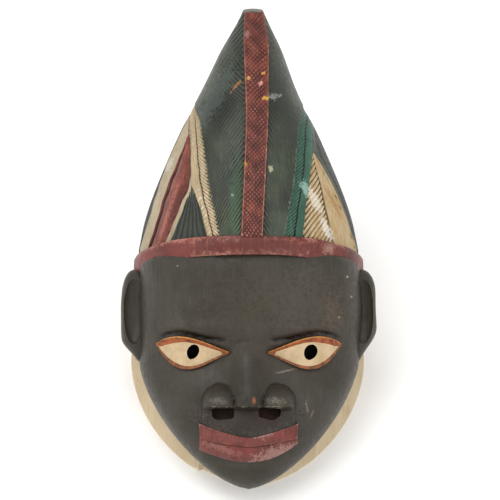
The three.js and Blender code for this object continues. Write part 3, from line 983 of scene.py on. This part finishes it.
def markWear(piece):
    # worn is above 0 on edges that stand out and below 0 in grooves
    co = corners(piece)
    edges = np.empty(len(piece.data.edges) * 2, np.int32)
    piece.data.edges.foreach_get("vertices", edges)
    a, b = edges.reshape(-1, 2).T
    normals = vectorsOf(piece.data.vertices, "normal")
    count = np.bincount(a, minlength=len(co)) + np.bincount(b, minlength=len(co))
    span = co[b] - co[a]
    length = np.linalg.norm(span, axis=1) + 1e-7

    def gathered(atA, atB):
        return np.bincount(a, atA, len(co)) + np.bincount(b, atB, len(co))

    bendA = -(span * normals[a]).sum(1) / length
    bendB = (span * normals[b]).sum(1) / length
    worn = gathered(bendA, bendB) / np.maximum(count, 1)
    for _ in range(wear["spreads"]):
        worn = 0.5 * worn + 0.5 * gathered(worn[b], worn[a]) / np.maximum(count, 1)
    layer = piece.data.attributes.new("worn", "FLOAT", "POINT")
    layer.data.foreach_set("value", np.clip(worn * wear["strength"], -1, 1).astype(np.float32))


markWear(mask)
selectOnly(mask)
bpy.ops.object.shade_smooth_by_angle(angle=math.radians(wear["sharpFrom"]))
print("wear marked")


def linear(hexColour):
    channels = [int(hexColour[i : i + 2], 16) / 255 for i in (1, 3, 5)]
    return (*[c / 12.92 if c <= 0.04045 else ((c + 0.055) / 1.055) ** 2.4 for c in channels], 1)


def addNode(tree, kind, inputs, output=0, **settings):
    # inputs maps a socket's name or number to a value or to another node's output
    node = tree.nodes.new(kind)
    for key, value in settings.items():
        setattr(node, key, value)
    for key, value in inputs.items():
        if isinstance(value, bpy.types.NodeSocket):
            tree.links.new(value, node.inputs[key])
        else:
            node.inputs[key].default_value = value
    return node.outputs[output]


# Oil paint brushed by hand on carved hardwood, dry for decades and handled. It is uneven in tone, dark
# where dirt sits in the cuts and pale where it is rubbed. Each paint has its coat, a second tone, the
# dirt in its cuts, what shows where it is rubbed, and how rough it is.
looks = {
    # thin and much handled: a low sheen, brown where it thins
    "blackFace": ("#2e2a21", "#37322a", "#16130f", "#6b6355", 0.44),
    # a dark green over black, dulled by smoke
    "greenLeaf": ("#2f342a", "#3d4336", "#0c0f0b", "#7c8271", 0.45),
    # chalky, brushed dry: dirt stays in the barbs
    "creamFeather": ("#9b896b", "#aa997b", "#3a2c1a", "#d2c6ad", 0.7),
    # the same cream, greyed by hands
    "creamBand": ("#a3957c", "#95876f", "#4a3b29", "#cbbfa5", 0.7),
    # iron red, worn on the lattice
    "redCrest": ("#783b2d", "#602c23", "#35140f", "#b17c69", 0.5),
    # the same with more oil: a sheen, and a painted highlight on the swell
    "redPanel": ("#7a3d30", "#5f2b20", "#260f0a", "#b07a68", 0.45),
    # the deepest red, dirty at its edges
    "redBand": ("#6b2f28", "#582620", "#2c130f", "#a06c5e", 0.45),
    # blue-green with little white in it
    "tealFeather": ("#284a3c", "#365948", "#0d1e18", "#7d9c88", 0.5),
    # ochre and white, rubbed pale on its ribs
    "tanPanel": ("#ab9672", "#a48a60", "#443118", "#d9cfb8", 0.7),
    # thick and chalky, nearly matt
    "creamCollar": ("#beac8e", "#b4a283", "#857050", "#d8ccb5", 0.72),
    # red over black, rubbed pink on the ridges
    "redLips": ("#6c322b", "#562621", "#2e1210", "#94665c", 0.48),
    # one stroke of orange, dark at its ends
    "orangeLid": ("#9a5024", "#602c16", "#2c140b", "#c48a4a", 0.5),
    # brown with orange left in it
    "lidLine": ("#5d3823", "#8a532c", "#21130d", "#8f5f38", 0.55),
    # white yellowed by oil, smooth and a little shiny
    "whiteEye": ("#bda684", "#ad9673", "#5f4c33", "#d8cbb2", 0.5),
    # light hardwood as the gouge left it: dry and dull
    "bareWood": ("#7c5f3c", "#654a2d", "#302114", "#9c7d55", 0.8),
    # wood scorched by a hot iron: sooty, and darker still as painted shade, so the blind pupil bores and the
    # nostril slots read deep
    "sootyHoleShade": ("#2b1c13", "#3a281b", "#150e09", "#5d4836", 0.8),
}
# How strongly the grain shows, from how much wear the paint is rubbed, and how large its patches are.
usual = {"streaks": 0.5, "rubbedFrom": 0.5, "patch": 24}
unusual = {
    "blackFace": {"streaks": 0.22, "rubbedFrom": 0.55},
    "greenLeaf": {"streaks": 0.3, "rubbedFrom": 0.42},
    "creamFeather": {"rubbedFrom": 0.42},
    "redPanel": {"rubbedFrom": 0.44, "patch": 14},
    "tanPanel": {"rubbedFrom": 0.45},
    "redLips": {"patch": 9},
    "orangeLid": {"patch": 5},
    "lidLine": {"rubbedFrom": 0.75, "patch": 5},
    "whiteEye": {"streaks": 0.15, "patch": 9},
}
grain = {"fine": 4, "along": 26, "across": 1.1, "speck": 1.3, "bump": 0.3, "patches": 3}
# From which value of its pattern each layer starts to show, where it is full, and how strongly.
layers = {
    "second": (0.36, 0.66),
    "darkStreak": (0.52, 0.78, 0.8),
    "paleStreak": (0.46, 0.26, 0.4),
    "hollowed": (0.2, 0.46),
    "cut": (0.1, 0.85, 0.85),
    "rubbedOver": 0.3,
    "spot": (1.25, 0.75),
}
gloss = {"smoother": 0.1, "rougher": 0.12, "ior": 1.36}


def hairOut(x, up):
    half, middle, front, _, _ = hairAt(up)
    away = np.clip((x - hairLean(up)) / half, -1, 1)
    return middle + front * np.sqrt(1 - away**2)


# Chips, smears and patches of tone on each paint, with a few painted highlights and painted shades: x, up,
# half width, half height, turn in degrees, colour, raggedness and share.
spots = {
    "redCrest": [
        (0.1, 338, 1.4, 1.6, 0, "#b98c42", 1.1, 0.9),
        (12, 342, 1.8, 1.3, 30, "#bd8740", 1.1, 0.9),
        (10.2, 333, 2, 1.5, 60, "#c98d80", 1.1, 0.9),
        (-1, 376, 2.4, 3.2, 0, "#93645c", 1, 0.8),
        (14.6, 320.5, 3, 1.8, 0, "#bf9239", 1.1, 0.9),
        (-2.6, 266, 1.5, 2.6, 10, "#ad7030", 1.1, 0.9),
    ],
    "greenLeaf": [
        (15.4, 321.5, 2.2, 1.7, 0, "#bf9239", 1.1, 0.9),
        (20.8, 322.5, 5, 2.2, 15, "#b9c0ba", 1.3, 0.8),
        (-9.5, 332, 5.4, 1.1, 52, "#8f5f33", 1.8, 0.8),
        (18.2, 262, 1.8, 2.4, 30, "#a9a283", 1, 0.8),
        (-13, 240, 1.2, 1.1, 0, "#8fa394", 0.8, 0.7),
        (-8.5, 232, 7, 44, 0, "#3c5a3f", 1, 0.4),
        (25, 318, 15, 66, 12, "#24261f", 0.8, 0.6),
        # a painted highlight: a lighter bluish sheen high on the left leaf
        (-28, 322, 9, 30, -24, "#4d5550", 1.2, 0.45),
        (79, 228, 2, 12, 28, "#8f7240", 1.4, 0.45),
        (84, 236, 24, 75, 22, "#191d17", 0.5, 0.75),
        (-86, 236, 20, 75, -24, "#191d17", 0.5, 0.75),
    ],
    "tealFeather": [
        (46.5, 246, 3, 7, 20, "#93b5a8", 1, 0.6),
    ],
    "tanPanel": [
        # painted highlights: two pale slanting streaks of glare across the panel
        (55.5, 236, 3.2, 12, 26, "#d9d2c2", 1, 0.6),
        (65, 212, 3, 10, 24, "#ddd8cc", 1, 0.65),
        (71, 234, 1.6, 15, 28, "#93672f", 1.3, 0.6),
    ],
    "creamBand": [
        (-66, 266, 2.4, 6, -24, "#bdb8ad", 1.3, 0.6),
        (-64, 220, 3.2, 2.2, 50, "#a66a52", 1, 0.8),
    ],
    "redBand": [
        (66, 196, 5, 4, 0, "#a88478", 1.3, 0.55),
        (84, 194, 14, 9, 0, "#451d19", 1, 0.7),
        (-22, 190, 22, 1.2, 0, "#946f60", 1.2, 0.6),
        (14, 197, 50, 11, 0, "#4c231d", 1.2, 0.45),
    ],
    "blackFace": [
        (70, 143, 6, 11, 10, "#55453a", 2, 0.5),
        (-62, 132, 9, 9, -10, "#423b31", 2, 0.4),
        (81.9, 172.8, 1, 0.9, 0, "#979080", 0.9, 0.9),
        (85.5, 156, 0.9, 0.8, 0, "#979080", 0.9, 0.9),
        (74.9, 139.5, 1.1, 1, 0, "#9a8466", 0.9, 0.9),
        (-58.5, 182, 0.7, 0.6, 0, "#8a8374", 0.9, 0.8),
        (4.6, 71.5, 1.5, 3, 0, "#b06a34", 0.6, 0.9),
        (48, 66, 0.8, 5, 12, "#6f6355", 1.5, 0.7),
        (52.5, 60, 0.7, 4, -20, "#6f6355", 1.5, 0.7),
        (30, 95, 6, 0.7, 12, "#736b5e", 1.5, 0.7),
        (52, 150, 44, 20, 0, "#463c30", 2.4, 0.4),
        (0, 140, 22, 40, 0, "#3d352b", 2.4, 0.4),
        # painted shade under the nose, over a browner tone on the muzzle
        (0, 56, 43, 12, 0, "#24160e", 1.2, 0.9),
        # painted highlights: a pale glint low on each nose wing
        (-25, 71, 6, 2.2, 0, "#7d766a", 2, 0.3),
        (22, 71.5, 7, 2.8, 0, "#7d766a", 2, 0.35),
        (0, 84, 15, 26, 0, "#232019", 1.6, 0.5),
    ],
    "redPanel": [
        # a painted highlight along the swell's left side, darker red and painted shade over its right half,
        # and a painted shadow line along its outer edge
        (-66.5, 226, 2.4, 26, -21, "#a2665a", 1.2, 0.6),
        (-58.5, 233, 4.4, 22, -21, "#4a1e15", 1, 0.8),
        (-75, 212, 1.6, 16, -21, "#4c2414", 1, 0.7),
    ],
    "redLips": [
        (21, 28.5, 17, 4.6, 18, "#926f66", 1.6, 0.65),
        (11, 43.5, 7, 2.4, 4, "#957a70", 1.4, 0.6),
        (-21, 31.5, 16, 2.2, -17, "#835950", 1.4, 0.55),
    ],
}


def surfaceOut(paint, x, up):
    # about how far out the surface lies there, so a spot doesn't reach through to the back
    if paint in ("blackFace", "redLips"):
        return faceOut(np.float64(x), np.float64(up)) + (noseHeight(x, up) if paint == "blackFace" else 6)
    return hairOut(x, np.float64(up)) + 3


def paintWood(name):
    coat, second, dirt, rubbed = (linear(colour) for colour in looks[name][:4])
    roughness = looks[name][4]
    own = usual | unusual.get(name, {})
    material = bpy.data.materials[name]
    material.use_nodes = True
    tree = material.node_tree
    shader = tree.nodes["Principled BSDF"]
    here = addNode(tree, "ShaderNodeTexCoord", {}, "Object")
    worn = addNode(tree, "ShaderNodeAttribute", {}, "Fac", attribute_name="worn")
    cut = addNode(tree, "ShaderNodeAttribute", {}, "Fac", attribute_name="cut")

    def noise(size, detail, vector=here):
        inputs = {"Vector": vector, "Scale": 1 / (size * mm), "Detail": detail, "Roughness": 0.62}
        return addNode(tree, "ShaderNodeTexNoise", inputs, "Fac")

    def ramp(value, low, high):
        inputs = {"Value": value, "From Min": low, "From Max": high}
        return addNode(tree, "ShaderNodeMapRange", inputs, interpolation_type="SMOOTHSTEP")

    def combined(operation, a, b):
        return addNode(tree, "ShaderNodeMath", {0: a, 1: b}, operation=operation)

    def times(a, b):
        return combined("MULTIPLY", a, b)

    def plus(a, b):
        return combined("ADD", a, b)

    def over(under, colour, share):
        inputs = {0: share, 6: under, 7: colour}
        return addNode(tree, "ShaderNodeMix", inputs, 2, data_type="RGBA")

    def mapped(inputs):
        return addNode(tree, "ShaderNodeMapping", {"Vector": here} | inputs, vector_type="TEXTURE")

    mottle = noise(own["patch"], 5)
    fine, speck = noise(grain["fine"], 4), noise(grain["speck"], 2)
    # the grain runs along the face, from chin to peak
    across, along = grain["across"] * mm, grain["along"] * mm
    stretched = mapped({"Rotation": (leanBack, 0, 0), "Scale": (across, along, 3 * across)})
    streak = addNode(tree, "ShaderNodeTexNoise", {"Vector": stretched, "Scale": 1, "Detail": 3}, "Fac")

    tone = over(coat, second, ramp(mottle, *layers["second"]))
    for layer, colour in (("darkStreak", dirt), ("paleStreak", rubbed)):
        low, high, most = layers[layer]
        tone = over(tone, colour, times(ramp(streak, low, high), most * own["streaks"]))
    # dirt lies in hollows and fills the cuts, and raised edges are rubbed; along the crease above the eyes
    # the darkening is painted shade as well as dirt
    hollowed = plus(times(worn, -1), times(fine, 0.22))
    tone = over(tone, dirt, ramp(hollowed, *layers["hollowed"]))
    low, high, most = layers["cut"]
    tone = over(tone, dirt, times(ramp(cut, low, high), most))
    raised = plus(worn, times(fine, 0.6))
    tone = over(tone, rubbed, ramp(raised, own["rubbedFrom"], own["rubbedFrom"] + layers["rubbedOver"]))
    for x, up, wide, tall, turn, colour, ragged, share in spots.get(name, []):
        lean = Matrix.Rotation(leanBack, 3, "X") @ Matrix.Rotation(math.radians(turn), 3, "Z")
        size = (wide * mm, tall * mm, max(14, wide) * mm)
        at = place(x, up, surfaceOut(name, x, up))
        local = mapped({"Location": at, "Rotation": lean.to_euler("XYZ"), "Scale": size})
        away = addNode(tree, "ShaderNodeVectorMath", {0: local}, "Value", operation="LENGTH")
        torn = times(combined("SUBTRACT", plus(speck, fine), 1), 2.2 * ragged)
        near = ramp(plus(away, torn), *layers["spot"])
        tone = over(tone, linear(colour), times(near, share))
    tree.links.new(tone, shader.inputs["Base Color"])

    # the sheen is as uneven as the brushing
    rough = {"Value": fine, "From Min": 0.3, "From Max": 0.7, "To Min": roughness - gloss["smoother"]}
    rough["To Max"] = roughness + gloss["rougher"]
    tree.links.new(addNode(tree, "ShaderNodeMapRange", rough), shader.inputs["Roughness"])
    dented = times(mottle, grain["patches"])
    pitted = plus(fine, times(speck, 0.5))
    height = plus(plus(streak, dented), pitted)
    relief = {"Strength": 0.6, "Distance": grain["bump"] * mm, "Height": height}
    tree.links.new(addNode(tree, "ShaderNodeBump", relief), shader.inputs["Normal"])
    shader.inputs["IOR"].default_value = gloss["ior"]


for name in looks:
    paintWood(name)
print("paints mixed")

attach(mask, "root")
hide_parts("mask")

# A pale matt floor, a pale surround and soft lamps.
studio = {"floor": "#faf9f7", "floorSize": 12, "floorRough": 0.9, "surround": "#ffffff", "strength": 0.92}
bpy.ops.mesh.primitive_plane_add(size=studio["floorSize"])
floor = bpy.context.object
floor.name = "floor"
floorPaint = bpy.data.materials.new("paleFloor")
floorPaint.use_nodes = True
floorShader = floorPaint.node_tree.nodes["Principled BSDF"]
floorShader.inputs["Base Color"].default_value = linear(studio["floor"])
floorShader.inputs["Roughness"].default_value = studio["floorRough"]
floor.data.materials.append(floorPaint)
world = bpy.data.worlds.new("surround")
world.use_nodes = True
background = world.node_tree.nodes["Background"]
background.inputs["Color"].default_value = linear(studio["surround"])
background.inputs["Strength"].default_value = studio["strength"]
bpy.context.scene.world = world

lamps = [
    {"name": "key", "at": (-0.5, -0.1, 2.3), "size": 1.3, "watts": 19},
    {"name": "fill", "at": (1.5, -1.6, 1.5), "size": 2.2, "watts": 19},
    {"name": "left", "at": (-2.1, -0.8, 1.2), "size": 1.8, "watts": 13},
]
for lamp in lamps:
    bpy.ops.object.light_add(type="AREA", location=lamp["at"])
    light = bpy.context.object
    light.name = lamp["name"]
    light.data.energy = lamp["watts"]
    light.data.size = lamp["size"]
    aim = Vector((0, 0, 0.1)) - Vector(lamp["at"])
    light.rotation_euler = aim.to_track_quat("-Z", "Y").to_euler()

# The camera looks at the face square on.
view = {"distance": 2600, "across": 415, "x": 1.2, "up": 195, "out": 30, "sensor": 36, "reach": 20}
camera = bpy.data.objects.new("camera", bpy.data.cameras.new("camera"))
bpy.context.scene.collection.objects.link(camera)
camera.location = Vector(place(view["x"], view["up"], view["out"] + view["distance"]))
camera.rotation_euler = (leanBack, 0, 0)
camera.data.sensor_width = view["sensor"]
camera.data.lens = view["sensor"] * view["distance"] / view["across"]
camera.data.clip_end = view["reach"]
bpy.context.scene.camera = camera
bpy.context.scene.view_settings.view_transform = "Standard"
print("studio ready")
